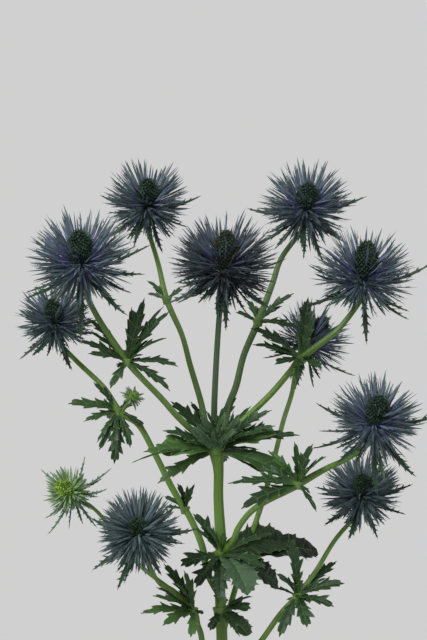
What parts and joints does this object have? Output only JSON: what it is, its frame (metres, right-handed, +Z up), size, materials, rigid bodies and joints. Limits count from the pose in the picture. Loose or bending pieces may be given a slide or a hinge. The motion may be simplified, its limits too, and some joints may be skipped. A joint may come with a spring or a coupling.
{
  "type": "sea holly spray in a glass bottle",
  "caption": "Upright spray of branching sea holly stems with spiny blue flower heads and whorled toothed leaves, standing in a plain clear glass bottle of water.",
  "frame": {"origin": "centre of the bottle's flat base, on the surface that it stands on", "axes": "+Z up along the bottle's axis; -Y towards the front, the side the picture shows"},
  "size_m": [0.2522, 0.1462, 0.4972],
  "materials": {
    "bottle_glass": "clear, smooth, faintly green",
    "clear_water": "still clear water",
    "stem_green": "fresh ribbed green stem, slightly waxy",
    "leaf_green": "dark green leaf with pale veins, satin",
    "floret_green": "dark green florets with pale tips, matt",
    "bract_slate_blue": "slate blue to violet, green towards the tips, satin",
    "bract_young_green": "light fresh green, satin"
  },
  "bodies": {
    "root": {"bottle": "bottle_glass", "water": "clear_water", "stem_main": "stem_green", "stem_back": "stem_green", "stem_right": "stem_green", "stem_left": "stem_green", "leaves_hub": "leaf_green", "leaves_left_branch": "leaf_green", "leaves_low_left_branch": "leaf_green", "leaves_right_branch": "leaf_green", "leaves_back_right_branch": "leaf_green", "leaves_back_left_branch": "leaf_green", "leaves_right_side_branch": "leaf_green", "leaves_right_stem": "leaf_green", "leaves_main_joint": "leaf_green", "leaves_side_joint": "leaf_green", "leaves_main_foot": "leaf_green", "leaves_left_stem": "leaf_green", "cone_centre": "floret_green", "cone_left": "floret_green", "cone_side_right": "floret_green", "cone_right": "floret_green", "cone_upper_left": "floret_green", "cone_upper_right": "floret_green", "cone_low_front": "floret_green", "cone_low_right": "floret_green", "cone_side_left": "floret_green", "cone_back": "floret_green", "cone_low_left": "floret_green", "bracts_centre": "bract_slate_blue", "bracts_left": "bract_slate_blue", "bracts_side_right": "bract_slate_blue", "bracts_right": "bract_slate_blue", "bracts_upper_left": "bract_slate_blue", "bracts_upper_right": "bract_slate_blue", "bracts_low_front": "bract_slate_blue", "bracts_low_right": "bract_slate_blue", "bracts_side_left": "bract_slate_blue", "bracts_back": "bract_slate_blue", "bracts_low_left": "bract_young_green", "bud": "bract_young_green"}
  },
  "joints": []
}
